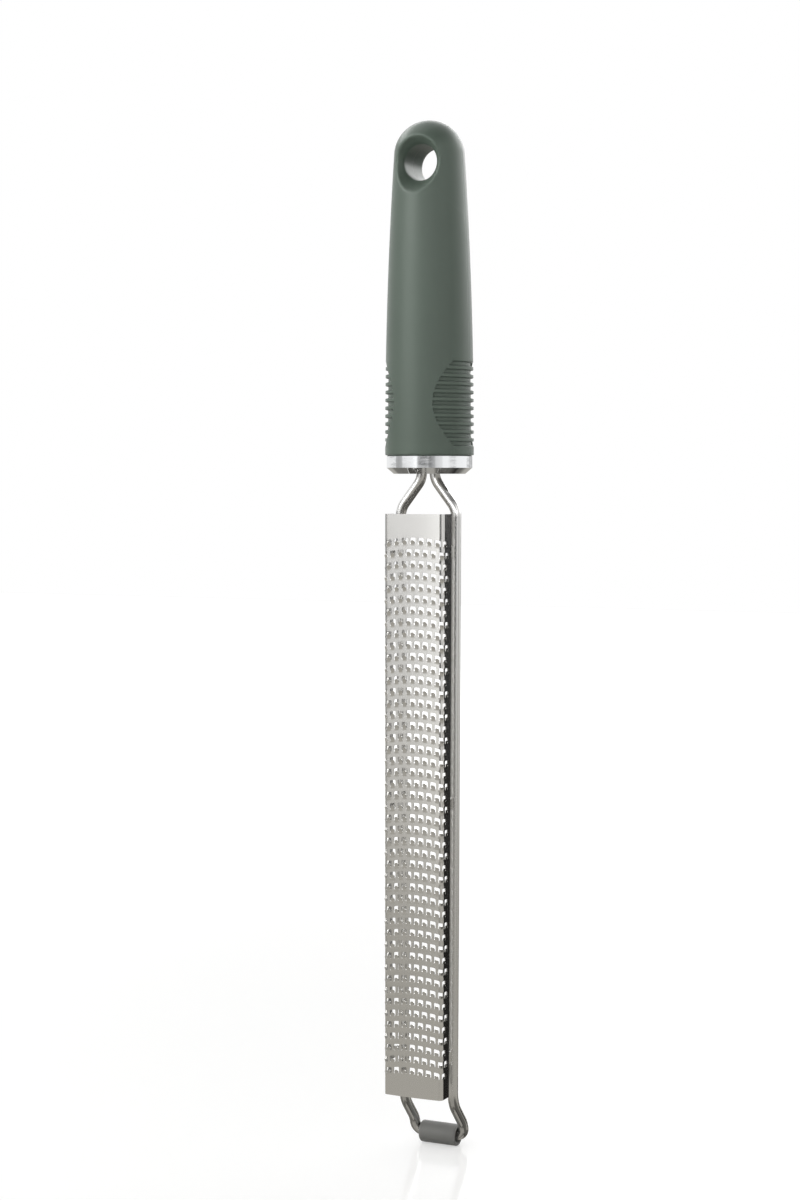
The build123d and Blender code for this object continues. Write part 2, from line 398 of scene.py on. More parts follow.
@dataclass(frozen=True)
class DrawnSteel(Finish):
    """Bright drawn rod: fine lines along it."""

    line_scale: float = 2600.0
    line_stretch: tuple[float, float, float] = (1.0, 1.0, 0.012)
    line_swing: float = 0.04
    line_depth: float = 0.0025 * MM
    gloss_swing: float = 0.16
    gloss_drop: float = 0.05

    def detail(self, tree: NodeTree, surface: Node) -> None:
        """Draw lines in the gloss and the relief.

        Args:
            tree: the material's node tree.
            surface: its Principled node.
        """
        lines = self.noise(tree, self.line_scale, self.line_stretch)
        feed(tree, surface.inputs["Roughness"], lines * self.gloss_swing + (self.roughness - self.gloss_drop))
        self.tint(tree, surface, lines, self.line_swing)
        self.bump(tree, surface, lines, self.line_depth)


@dataclass(frozen=True)
class EtchedSteel(Finish):
    """Satin sheet: very fine rolling lines, a soft cloud in the gloss, and a matte etched inside whose colour
    is darkened as painted shade.
    """

    line_scale: float = 3000.0
    line_stretch: tuple[float, float, float] = (1.0, 1.0, 0.02)
    line_swing: float = 0.1
    line_depth: float = 0.0015 * MM
    cloud_scale: float = 70.0
    cloud_swing: float = 0.06
    gloss_drop: float = 0.08
    channel_depth: float = -9.0 * MM
    inside_edge: float = -1.0 * MM
    matte: float = 0.22
    # The face's tone and the swing below paint the inside of the channel darker than the face: painted shade.
    face_tone: float = 0.95
    inside_painted_shade: float = 0.16

    def detail(self, tree: NodeTree, surface: Node) -> None:
        """Rolling lines, soft clouding, and the matte inside of the channel with painted shade in its colour.

        Args:
            tree: the material's node tree.
            surface: its Principled node.
        """
        lines = self.noise(tree, self.line_scale, self.line_stretch) * self.line_swing
        cloud = self.noise(tree, self.cloud_scale) * self.cloud_swing
        x, y, _ = coordinates(tree, "Object")
        across, outward, _ = coordinates(tree, "Normal")
        inside = (x * across + (y - self.channel_depth) * outward).ramp(0.0, self.inside_edge)
        rough = lines + cloud + inside * self.matte + (self.roughness - self.gloss_drop)
        feed(tree, surface.inputs["Roughness"], rough)
        # Painted shade: the inside of the channel gets a darker colour than the face; only its matte
        # roughness is the etched finish.
        self.tint(tree, surface, lines + (self.face_tone - inside), self.inside_painted_shade)
        self.bump(tree, surface, lines / self.line_swing, self.line_depth)


@dataclass(frozen=True)
class Silicone(Finish):
    """Matte silicone with a slight bloom."""

    bloom_scale: float = 300.0
    bloom_swing: float = 0.05
    bloom_stretch: tuple[float, float, float] = (0.4, 1.0, 1.0)
    bloom_span: tuple[float, float] = (0.3, 0.7)
    grain_scale: float = 2600.0
    grain_depth: float = 0.008 * MM
    sheen: float = 0.1

    def detail(self, tree: NodeTree, surface: Node) -> None:
        """Bloom in the colour and a fine skin.

        Args:
            tree: the material's node tree.
            surface: its Principled node.
        """
        bloom = self.noise(tree, self.bloom_scale, self.bloom_stretch).ramp(*self.bloom_span)
        self.tint(tree, surface, bloom, self.bloom_swing)
        self.bump(tree, surface, self.noise(tree, self.grain_scale), self.grain_depth)
        surface.inputs["Sheen Weight"].default_value = self.sheen


FINISHES = {
    Slot.GRIP: SoftGrip("soft_grip_rubber", (0.108, 0.144, 0.115), 0.42),
    Slot.CORE: MouldedPlastic("core_plastic", (0.035, 0.038, 0.038), 0.5),
    Slot.COLLAR: PolishedChrome("collar_chrome", (0.86, 0.87, 0.88), 0.05, 1.0),
    Slot.WIRE: DrawnSteel("wire_steel", (0.72, 0.715, 0.7), 0.16, 1.0),
    Slot.BLADE: EtchedSteel("blade_steel", (0.672, 0.665, 0.646), 0.14, 1.0),
    Slot.SLEEVE: Silicone("sleeve_silicone", (0.19, 0.19, 0.18), 0.6),
}


# Shared making


@dataclass
class Recipe:
    """A Geometry Nodes tree with named size inputs, run once on a piece and then made plain.

    Attributes:
        name: the tree's name.
        sizes: the named inputs and their values.
    """

    name: str
    sizes: dict[str, float]
    tree: NodeTree = field(init=False)

    def __post_init__(self) -> None:
        """Makes the empty tree with its sockets."""
        self.tree = bpy.data.node_groups.new(self.name, "GeometryNodeTree")
        face = self.tree.interface
        face.new_socket("Geometry", in_out="INPUT", socket_type="NodeSocketGeometry")
        for name in self.sizes:
            face.new_socket(name, in_out="INPUT", socket_type="NodeSocketFloat")
        face.new_socket("Geometry", in_out="OUTPUT", socket_type="NodeSocketGeometry")
        self.inputs = self.tree.nodes.new("NodeGroupInput")

    def add(self, kind: str, **inputs: object) -> Node:
        """Adds a node to the tree and feeds its inputs."""
        return add_node(self.tree, kind, **inputs)

    def size(self, name: str) -> Formula:
        """One of the named sizes."""
        return Formula(self.tree, self.inputs.outputs[name])

    def place(self) -> tuple[Formula, ...]:
        """The X, Y and Z of each point."""
        return parts(self.tree, self.add("GeometryNodeInputPosition").outputs[0])

    def value(self, socket: NodeSocket) -> Formula:
        """Any socket of the tree as a formula."""
        return Formula(self.tree, socket)

    def finish(self, geometry: NodeSocket, material: Material) -> None:
        """Ends the tree in Realize Instances and Set Material.

        Args:
            geometry: the socket that holds the result.
            material: the material that it gets.
        """
        real = self.add("GeometryNodeRealizeInstances", Geometry=geometry)
        dressed = self.add("GeometryNodeSetMaterial", Geometry=real.outputs[0], Material=material)
        end = self.tree.nodes.new("NodeGroupOutput")
        self.tree.links.new(dressed.outputs[0], end.inputs[0])

    def run(self, piece: Object) -> None:
        """Runs the tree on a piece and keeps the result as its plain mesh.

        Args:
            piece: the object whose mesh goes in.
        """
        modifier = piece.modifiers.new(self.name, "NODES")
        modifier.node_group = self.tree
        for item in self.tree.interface.items_tree:
            if item.in_out == "INPUT" and item.name in self.sizes:
                modifier[item.identifier] = self.sizes[item.name]
        graph = bpy.context.evaluated_depsgraph_get()
        mesh = bpy.data.meshes.new_from_object(piece.evaluated_get(graph))
        piece.modifiers.remove(modifier)
        piece.data = mesh


def named_sizes(maker: object, *names: str) -> dict[str, float]:
    """Some of a maker's sizes, under the labels that its tree's inputs carry."""
    return {name.replace("_", " ").capitalize(): float(getattr(maker, name)) for name in names}


def new_piece(name: str, points: list[Vector], faces: list[Face]) -> Object:
    """Makes an object at the origin from points and faces.

    Args:
        name: the object's name.
        points: its corners.
        faces: the corners of each face.

    Returns:
        The linked object.
    """
    mesh = bpy.data.meshes.new(name)
    mesh.from_pydata(points, [], faces)
    piece = bpy.data.objects.new(name, mesh)
    bpy.context.scene.collection.objects.link(piece)
    return piece


def weld(piece: Object, reach: float, outward: bool = True) -> None:
    """Joins corners that meet and turns the faces outwards.

    Args:
        piece: the object.
        reach: how near two corners have to be.
        outward: whether the faces are turned too.
    """
    shape = bmesh.new()
    shape.from_mesh(piece.data)
    bmesh.ops.remove_doubles(shape, verts=shape.verts, dist=reach)
    if outward:
        bmesh.ops.recalc_face_normals(shape, faces=shape.faces)
    shape.to_mesh(piece.data)
    shape.free()


def shade(piece: Object, edge_degrees: float) -> None:
    """Shades a piece smooth, but sharp where its faces turn by more than an angle."""
    piece.data.shade_smooth()
    piece.data.set_sharp_from_angle(angle=math.radians(edge_degrees))


def settle(piece: Object, body: Body, slot: Slot, *nodes: str) -> None:
    """Names what a finished piece rides on and the CAD nodes that it stands for.

    Args:
        piece: the finished object.
        body: the body that it rides on.
        slot: its material slot; not used.
        nodes: the CAD nodes that it replaces.
    """
    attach(piece, body.value)
    if nodes:
        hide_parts(*nodes)
    log.info("%s: %d faces on %s", piece.name, len(piece.data.polygons), body.value)


def blend_between(start: float, end: float, share: float) -> float:
    """The value at a share of the way from start to end."""
    return start + (end - start) * share


def last_inside(low: float, high: float, inside: Callable[[float], bool]) -> float:
    """Halves a span again and again, down to the place where a test stops holding.

    Args:
        low: a value at which the test holds.
        high: a value at which it doesn't.
        inside: the test.

    Returns:
        The last value at which it holds.
    """
    for _ in range(HALVINGS):
        middle = (low + high) / 2
        low, high = (middle, high) if inside(middle) else (low, middle)
    return low


def grid_faces(rows: int, columns: int, start: int = 0, turned: bool = False, ring_rows: bool = False,
               ring_columns: bool = False) -> list[Face]:
    """The four-cornered faces between the points of a grid.

    Args:
        rows: how many rows of points it has.
        columns: how many points lie in a row.
        start: the number of its first point.
        turned: whether the faces look the other way.
        ring_rows: whether the last row joins the first.
        ring_columns: whether the last point of a row joins its first.

    Returns:
        The corners of each face.
    """
    faces: list[Face] = []
    for row in range(rows if ring_rows else rows - 1):
        after = (row + 1) % rows
        for column in range(columns if ring_columns else columns - 1):
            beside = (column + 1) % columns
            quad = (row * columns + column, row * columns + beside, after * columns + beside,
                    after * columns + column)
            faces.append(tuple(start + corner for corner in (quad[::-1] if turned else quad)))
    return faces


def joined(*sheets: Sheet) -> Sheet:
    """The points and faces of several meshes as those of one.

    Args:
        sheets: the points and faces of each.

    Returns:
        All points, and all faces with their corners renumbered.
    """
    points: list[Vector] = []
    faces: list[Face] = []
    for more_points, more_faces in sheets:
        start = len(points)
        points += more_points
        faces += [tuple(start + corner for corner in face) for face in more_faces]
    return points, faces


# The grip


@dataclass
class Grip:
    """The soft grip: a turned handle with a domed end, a hanging hole and two ribbed pads."""

    length: float = 111.0 * MM
    radius: float = 14.7 * MM
    straight: float = 6.0 * MM
    dome: float = 11.75 * MM
    top: float = 14.6 * MM
    hole_radius: float = 6.0 * MM
    throat: float = 14.4 * MM
    funnel_degrees: float = 38.0
    rim_softness: float = 0.9 * MM
    wall: float = 2.3 * MM
    rib_pitch: float = 2.62 * MM
    groove_count: int = 11
    groove_height: float = 1.35 * MM
    groove_depth: float = 0.95 * MM
    groove_softness: float = 0.13 * MM
    pad_rise: float = 16.9 * MM
    pad_half_width: float = 12.8 * MM
    pad_half_height: float = 17.5 * MM
    join_height: float = -17.0 * MM
    edge_radius: float = 0.35 * MM
    mouth_depth: float = 1.5 * MM
    ring_step: float = 4.0 * MM
    ring_count: int = 10
    low_rings: tuple[float, ...] = (0.8 * MM, 1.6 * MM, 2.2 * MM)
    least_gap: float = 0.02 * MM
    soft_steps: tuple[float, ...] = (-1.5, -0.8, 0, 0.8, 1.5)
    pad_overrun: float = 0.2
    pad_lines: int = 11
    front_lines: int = 8
    edge_steps: int = 4
    rim_share: float = 0.45
    rim_steps: int = 6
    throat_steps: tuple[float, ...] = (0, 0.4, 0.8, 0.93)
    funnel_steps: tuple[float, ...] = (0.12, 0.4, 0.75)
    skin_steps: int = 14
    dome_lines: int = 79

    def __post_init__(self) -> None:
        """Works out the heights and the flank's long arc."""
        self.base = self.top - self.length
        self.flank_base = self.base + self.straight
        self.dome_centre = self.top - self.dome
        flank = self.length - self.straight - self.dome
        self.sweep = (self.radius**2 + flank**2 - self.dome**2) / (2 * (self.radius - self.dome))
        self.lean = math.asin((self.dome_centre - self.flank_base) / (self.sweep - self.dome))
        self.pad_middle = self.base + self.pad_rise

    def radius_at(self, height: float) -> float:
        """The handle's outer radius at a height.

        Args:
            height: the height along the handle.

        Returns:
            The radius.
        """
        if height <= self.flank_base:
            return self.radius
        meet = self.dome_centre + self.dome * math.sin(self.lean)
        if height <= meet:
            rise = (height - self.flank_base) / self.sweep
            return self.radius - self.sweep * (1 - math.sqrt(1 - rise**2))
        return math.sqrt(max(0.0, self.dome**2 - (height - self.dome_centre) ** 2))

    def pad_angle(self, height: float) -> float:
        """The half angle of a pad's outline, seen from the handle's axis, at a height.

        Args:
            height: the height along the handle.

        Returns:
            The angle; beyond the pad, that of its outermost groove.
        """
        rise = (height - self.pad_middle) / self.pad_half_height
        across = self.pad_half_width * math.sqrt(max(0.0, 1 - min(1.0, abs(rise)) ** 2))
        limit = (self.groove_count / 2 + self.pad_overrun) * self.rib_pitch / self.pad_half_height
        least = self.pad_half_width * math.sqrt(1 - limit**2)
        return math.asin(max(across, least) / self.radius_at(height))

    def quarter(self, height: float) -> list[float]:
        """The angles of the lines from a pad's middle to the front, denser at the pad's outline.

        Args:
            height: the height along the handle.

        Returns:
            The angles in rising order.
        """
        edge = self.pad_angle(height)
        step = self.groove_softness / self.radius
        near = [edge + step * share for share in (-5, *self.soft_steps, 5)]
        inside = [near[0] * index / self.pad_lines for index in range(self.pad_lines)]
        outside = [blend_between(near[-1], QUARTER, index / self.front_lines)
                   for index in range(1, self.front_lines)]
        return inside + near + outside

    def columns(self, height: float) -> list[float]:
        """The angles of all lines round the handle at a height, from the front round through +X.

        Args:
            height: the height along the handle.

        Returns:
            The angles in rising order.
        """
        quarter = self.quarter(height)
        right = [-part for part in reversed(quarter[1:])] + quarter
        left = [angle + math.pi for angle in right]
        return [-QUARTER, *right, QUARTER, *left]

    def levels(self) -> list[float]:
        """The heights of the rings below the hole, denser at each groove's edges.

        Returns:
            The heights from the top down.
        """
        soft = self.groove_softness
        heights = {self.join_height, self.base + self.edge_radius}
        heights.update(self.join_height - self.ring_step * index for index in range(1, self.ring_count + 1))
        heights.update(self.base + rise for rise in self.low_rings)
        for index in range(self.groove_count):
            middle = self.pad_middle + (index - (self.groove_count - 1) / 2) * self.rib_pitch
            heights.update(middle + side * self.rib_pitch / 2 for side in (-1, 0, 1))
            heights.update(middle + side * (self.groove_height / 2 + share * soft)
                           for side in (-1, 1) for share in self.soft_steps)
        ordered = sorted(heights, reverse=True)
        kept = [ordered[0]]
        for height in ordered[1:]:
            if kept[-1] - height > self.least_gap:
                kept.append(height)
        return kept

    def section(self, across: float, up: float, reach: float, eased: float) -> list[Vector]:
        """One line of the front from the hole's middle out to the handle's outline.

        Args:
            across: the line's direction along X.
            up: the line's direction along Z.
            reach: how far the outline is from the hole's axis.
            eased: 1 where the surface turns away at the outline, 0 where it runs on.

        Returns:
            The points, from the throat outwards.
        """
        funnel = math.radians(self.funnel_degrees)
        throat = self.throat / 2

        def skin(distance: float) -> Vector:
            """The handle's skin at a distance from the hole's axis."""
            x, z = distance * across, distance * up
            return Vector((x, -math.sqrt(max(0.0, self.radius_at(z) ** 2 - x**2)), z))

        def flare(depth: float) -> float:
            """The funnel's radius at a depth."""
            return self.hole_radius + (depth - throat) * math.tan(funnel)

        def cone(depth: float) -> Vector:
            """The funnel's wall at a depth."""
            return Vector((flare(depth) * across, -depth, flare(depth) * up))

        rim_depth = last_inside(throat, self.radius, lambda depth: -skin(min(flare(depth), reach)).y > depth)
        rim_reach = flare(rim_depth)
        soft = min(self.rim_softness, (rim_depth - throat) * self.rim_share,
                   (reach - rim_reach) * self.rim_share)
        inner = cone(rim_depth - soft * math.cos(funnel))
        outer = skin(rim_reach + soft)
        rim = cone(rim_depth)
        points = [Vector((self.hole_radius * across, -throat * share, self.hole_radius * up))
                  for share in self.throat_steps]
        points += [cone(blend_between(throat, -inner.y, share)) for share in self.funnel_steps]
        for index in range(self.rim_steps + 1):
            share = index / self.rim_steps
            points.append(inner * (1 - share) ** 2 + rim * (2 * share * (1 - share)) + outer * share**2)
        for index in range(1, self.skin_steps + 1):
            plain = index / self.skin_steps
            share = blend_between(plain, math.sin(plain * QUARTER), eased)
            points.append(skin(blend_between(rim_reach + soft, reach, share)))
        points[-1].y = points[-1].y if eased < 1 else 0.0
        return points

    def head(self) -> Sheet:
        """The top of the handle round the hole: lines that fan out from the hole, front and back.

        Returns:
            Its points and faces.
        """
        ring = self.radius_at(self.join_height)
        fan: list[tuple[float, float, float, float]] = []
        for angle in self.columns(self.join_height):
            x, y = ring * math.cos(angle), ring * math.sin(angle)
            if y <= 1e-9:
                reach = math.hypot(x, self.join_height)
                fan.append((x / reach, self.join_height / reach, reach, 1 - abs(y) / ring))
        fan.sort(key=lambda line: math.atan2(line[0], -line[1]))
        corner = math.atan2(ring, self.join_height)
        upper = []
        for index in range(1, self.dome_lines + 1):
            turn = corner - 2 * corner * index / (self.dome_lines + 1)
            across, up = math.sin(turn), math.cos(turn)
            reach = last_inside(0.0, 3 * self.radius, lambda way: (
                way * up < self.top and self.radius_at(way * up) > abs(way * across)))
            upper.append((across, up, reach, 1.0))
        lines = [self.section(*line) for line in fan + upper]
        return joined(*(([Vector((p.x, p.y * side, p.z)) for line in lines for p in line],
                         grid_faces(len(lines), len(lines[0]), turned=side < 0, ring_rows=True))
                        for side in (1, -1)))

    def tube(self) -> tuple[list[Vector], list[Face], list[float]]:
        """The handle below the hole, down to its rounded lower edge and the mouth for the core.

        Returns:
            Its points, its faces and how far each point lies inside a pad's outline.
        """
        points: list[Vector] = []
        inside: list[float] = []
        rings = [(height, self.radius_at(height)) for height in self.levels()]
        for index in range(1, self.edge_steps + 1):
            turn = QUARTER * index / self.edge_steps
            drop = self.edge_radius * math.sin(turn)
            rings.append((self.base + self.edge_radius - drop,
                          self.radius - self.edge_radius * (1 - math.cos(turn))))
        rings += [(self.base + rise, self.radius - self.wall) for rise in (0, self.mouth_depth)]
        for height, radius in rings:
            for angle in self.columns(height):
                points.append(Vector((radius * math.cos(angle), radius * math.sin(angle), height)))
                from_middle = abs(math.atan2(math.sin(angle), abs(math.cos(angle))))
                inside.append((self.pad_angle(height) - from_middle) * self.radius_at(height))
        faces = grid_faces(len(rings), len(points) // len(rings), turned=True, ring_columns=True)
        return points, faces, inside

    def rib_recipe(self) -> Recipe:
        """The tree that sinks the grooves of both pads into the handle.

        Returns:
            The recipe, ready to run.
        """
        recipe = Recipe("rib_grooves", named_sizes(
            self, "rib_pitch", "groove_height", "groove_depth", "groove_count", "groove_softness",
            "pad_middle"))
        x, y, z = recipe.place()
        reach = (x * x + y * y).math("SQRT")
        steps = (z - recipe.size("Pad middle")) / recipe.size("Rib pitch")
        half_count = (recipe.size("Groove count") - 1.0) / 2.0
        nearest = steps.math("ROUND").at_most(half_count).at_least(half_count * -1.0)
        away = (steps - nearest).size() * recipe.size("Rib pitch")
        soft = recipe.size("Groove softness") * 1.5
        edge = recipe.size("Groove height") / 2.0
        in_groove = away.ramp(edge + soft, edge - soft)
        named = recipe.add("GeometryNodeInputNamedAttribute", Name="inside_pad")
        in_pad = recipe.value(named.outputs[0]).ramp(soft * -1.0, soft)
        share = recipe.size("Groove depth") * in_groove * in_pad / reach.at_least(MM)
        inward = recipe.add("ShaderNodeCombineXYZ", X=x * share * -1.0, Y=y * share * -1.0)
        moved = recipe.add("GeometryNodeSetPosition", Geometry=recipe.inputs.outputs["Geometry"],
                           Offset=inward.outputs[0])
        recipe.finish(moved.outputs[0], FINISHES[Slot.GRIP].make())
        return recipe

    def build(self) -> None:
        """Makes the grip, ribs it and lets it stand for its CAD node."""
        head = self.head()
        *tube, inside = self.tube()
        piece = new_piece("grip_skin", *joined(head, tube))
        pad = piece.data.attributes.new("inside_pad", "FLOAT", "POINT")
        pad.data.foreach_set("value", [-self.radius] * len(head[0]) + inside)
        weld(piece, 0.004 * MM)
        self.rib_recipe().run(piece)
        shade(piece, 50)
        settle(piece, Body.TOOL, Slot.GRIP, "grip")


# The blade


@dataclass
class Blade:
    """The toothed strip: one tooth tile laid in bowed rows, wrapped over the channel."""

    width: float = 21.4 * MM
    sheet: float = 0.32 * MM
    flange: float = 7.2 * MM
    flange_taper: float = 1.2 * MM
    taper_start: float = 3.6 * MM
    crown_radius: float = 130.0 * MM
    fold_radius: float = 1.3 * MM
    rows: int = 47
    row_margin: float = 8.7 * MM
    row_arc: float = 48.0 * MM
    teeth_per_side: int = 5
    tooth_pitch: float = 2.95 * MM
    hole_width: float = 2.1 * MM
    hole_height: float = 2.1 * MM
    hole_corner: float = 0.38 * MM
    tongue_width: float = 1.36 * MM
    tongue_height: float = 1.2 * MM
    tongue_corner: float = 0.3 * MM
    tongue_rise: float = 0.26 * MM
    tongue_edge: float = 0.2 * MM
    lean: float = 0.5 * MM
    narrowing: float = 0.025
    tongue_curl: float = 1.15
    tongue_levels: int = 3
    front: float = -12.95 * MM
    tile_columns: int = 8
    tile_levels: int = 4

    def __post_init__(self) -> None:
        """Reads the blade's place from its CAD node and works out the wrap."""
        low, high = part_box("blade")
        self.base = low.z
        self.length = high.z - low.z
        self.row_pitch = (self.length - 2 * self.row_margin) / (self.rows - 1)
        half = self.width / 2
        self.crown_angle = math.asin((half - self.fold_radius) / (self.crown_radius - self.fold_radius))
        self.crown_reach = self.crown_angle * self.crown_radius
        self.fold_reach = (QUARTER - self.crown_angle) * self.fold_radius
        fold_depth = self.crown_radius - (self.crown_radius - self.fold_radius) * math.cos(self.crown_angle)
        self.reach = self.crown_reach + self.fold_reach + self.flange - fold_depth
        self.taper_share = self.flange_taper / (self.flange - fold_depth - self.taper_start)
        self.upper_border = self.length - self.row_margin + self.row_pitch / 2
        self.lower_border = self.upper_border - self.rows * self.row_pitch

    def tile(self) -> Sheet:
        """One flat tooth tile: sheet round a hole, and the tongue that rises from its lower edge.

        Returns:
            Its points, X across, Y into the sheet and Z along the blade, and its faces.
        """
        half_w, half_h, corner = self.hole_width / 2, self.hole_height / 2, self.hole_corner
        tongue = self.tongue_width / 2
        bend = corner * (1 - math.sqrt(0.5))
        across = [-half_w + bend, -half_w + corner, -tongue, -tongue / 2, 0.0,
                  tongue / 2, tongue, half_w - corner, half_w - bend]
        up = [-half_h + bend, -half_h + corner, 0.0, half_h - corner, half_h - bend]
        bottom = [(x, -half_h if 0 < place < 8 else up[0]) for place, x in enumerate(across)]
        side = [(half_w if 0 < place < 4 else across[-1], z) for place, z in enumerate(up)]
        hole = bottom[:-1] + side[:-1]
        hole += [(-x, -z) for x, z in hole]
        box_w, box_h = self.tooth_pitch / 2, self.row_pitch / 2
        wide, tall = self.tile_columns, self.tile_levels
        border = [(blend_between(-box_w, box_w, k / wide), -box_h) for k in range(wide)]
        border += [(box_w, blend_between(-box_h, box_h, k / tall)) for k in range(tall)]
        border += [(-x, -z) for x, z in border]
        count, back = len(border), 2 * len(border)
        points = [Vector((x, depth, z)) for depth in (0.0, self.sheet) for x, z in border + hole]
        faces: list[Face] = []
        roots = range(2, 6)
        for index in range(count):
            after = (index + 1) % count
            outer = (index, after, count + after, count + index)
            faces += [outer, tuple(back + corner for corner in reversed(outer))]
            if index not in roots:
                faces.append((count + index, count + after, back + count + after, back + count + index))
        columns = across[2:7]
        last, top = len(columns) - 1, self.tongue_levels
        grid: dict[tuple[int, int, int], int] = {}
        for place, x in enumerate(columns):
            past = max(0.0, abs(x) - tongue + self.tongue_corner)
            tip = self.tongue_height - self.tongue_corner + math.sqrt(self.tongue_corner**2 - past**2 + 1e-12)
            grid[place, 0, 0] = count + 2 + place
            grid[place, 0, 1] = grid[place, 0, 0] + back
            for level in range(1, top + 1):
                height = tip * level / top
                share = height / self.tongue_height
                lift = -self.tongue_rise * share**self.tongue_curl
                thick = blend_between(self.sheet, self.tongue_edge, share)
                for skin, depth in enumerate((lift, lift + thick)):
                    grid[place, level, skin] = len(points)
                    points.append(Vector((x, depth, -half_h + height)))
        for level in range(top):
            for place in range(last):
                quad = [(place, level), (place + 1, level), (place + 1, level + 1), (place, level + 1)]
                faces.append(tuple(grid[p, h, 0] for p, h in quad))
                faces.append(tuple(grid[p, h, 1] for p, h in reversed(quad)))
            for place, turn in ((0, 1), (last, -1)):
                wall = [grid[place, level, 0], grid[place, level + 1, 0],
                        grid[place, level + 1, 1], grid[place, level, 1]]
                faces.append(tuple(wall[::turn]))
        for place in range(last):
            faces.append((grid[place, top, 0], grid[place + 1, top, 0], grid[place + 1, top, 1],
                          grid[place, top, 1]))
        return points, faces

    def slab(self, columns: list[float], levels: list[float], walls: str) -> Sheet:
        """A plain stretch of flat sheet, walled only along the blade's own edges.

        Args:
            columns: where its lines lie across the blade.
            levels: where its lines lie along the blade.
            walls: which sides are walled, of left, right, low and high.

        Returns:
            Its points and faces.
        """
        wide, tall = len(columns), len(levels)
        points = [Vector((x, depth, z)) for depth in (0.0, self.sheet) for z in levels for x in columns]
        skin = wide * tall
        faces = grid_faces(tall, wide) + grid_faces(tall, wide, skin, turned=True)
        rims = {
            "left": [row * wide for row in range(tall)],
            "right": [row * wide + wide - 1 for row in range(tall)],
            "low": list(range(wide)),
            "high": [(tall - 1) * wide + place for place in range(wide)],
        }
        for name in walls.split():
            rim = rims[name]
            for first, second in zip(rim, rim[1:]):
                faces.append((first, second, second + skin, first + skin))
        return points, faces

    def plain_sheet(self) -> Sheet:
        """The two end panels and the margins beside every row.

        Returns:
            Their points and faces.
        """
        step = self.tooth_pitch / self.tile_columns
        edge = self.teeth_per_side * self.tile_columns
        beyond = [blend_between(edge * step, self.reach, share) for share in (0.5, 1.0)]
        full = [-x for x in reversed(beyond)] + [index * step for index in range(-edge, edge + 1)] + beyond

        def levels(low: float, high: float) -> list[float]:
            """The even steps from one height to another."""
            return [blend_between(low, high, k / self.tile_levels) for k in range(self.tile_levels + 1)]

        slabs = [
            self.slab(full, levels(0, self.lower_border), "left right low"),
            self.slab(full, levels(self.upper_border, self.length), "left right high"),
        ]
        for row in range(self.rows):
            high = self.upper_border - row * self.row_pitch
            start = edge - (self.tile_columns // 2 if row % 2 == 0 else 0)
            margin = [index * step for index in range(start, edge + 1)] + beyond
            beside = levels(high - self.row_pitch, high)
            slabs.append(self.slab(margin, beside, "right"))
            slabs.append(self.slab([-x for x in reversed(margin)], beside, "left"))
        return joined(*slabs)

    def tooth_recipe(self) -> Recipe:
        """The tree that lays the tile in staggered rows, bows them and wraps the sheet.

        Returns:
            The recipe, ready to run.
        """
        recipe = Recipe("tooth_rows", named_sizes(
            self, "rows", "teeth_per_side", "tooth_pitch", "row_pitch", "row_arc", "length", "base", "front",
            "upper_border", "lower_border", "crown_radius", "crown_reach", "fold_radius", "fold_reach",
            "taper_start", "taper_share", "lean", "narrowing"))
        tagged = recipe.add("GeometryNodeInputNamedAttribute", Name="tile")
        split = recipe.add("GeometryNodeSeparateGeometry", Geometry=recipe.inputs.outputs["Geometry"],
                           Selection=recipe.value(tagged.outputs[0]).math("GREATER_THAN", 0.5))
        tile, plain = split.outputs
        join = recipe.add("GeometryNodeJoinGeometry")
        recipe.tree.links.new(plain, join.inputs[0])
        rows, pitch = recipe.size("Rows"), recipe.size("Row pitch")
        for shifted in (0.0, 1.0):
            count = recipe.size("Teeth per side") * 2.0 - (1.0 - shifted)
            lines = ((rows + (1.0 - shifted)) / 2.0).math("FLOOR")
            grid = recipe.add("GeometryNodeMeshGrid", Vertices_X=count, Vertices_Y=lines,
                              Size_X=(count - 1.0) * recipe.size("Tooth pitch"),
                              Size_Y=(lines - 1.0) * pitch * 2.0)
            middle = recipe.size("Upper border") - pitch * (0.5 + shifted) - (lines - 1.0) * pitch
            stood = recipe.add("GeometryNodeTransform", Geometry=grid.outputs["Mesh"],
                               Translation=recipe.add("ShaderNodeCombineXYZ", Z=middle).outputs[0])
            stood.inputs["Rotation"].default_value = (QUARTER, 0, 0)
            laid = recipe.add("GeometryNodeInstanceOnPoints", Points=stood.outputs[0], Instance=tile)
            real = recipe.add("GeometryNodeRealizeInstances", Geometry=laid.outputs[0])
            recipe.tree.links.new(real.outputs[0], join.inputs[0])
        whole = recipe.add("GeometryNodeMergeByDistance", Geometry=join.outputs[0], Distance=0.01 * MM)
        wrapped = recipe.add("GeometryNodeSetPosition", Geometry=whole.outputs[0],
                             Position=self.wrap(recipe).outputs[0])
        recipe.finish(wrapped.outputs[0], FINISHES[Slot.BLADE].make())
        return recipe

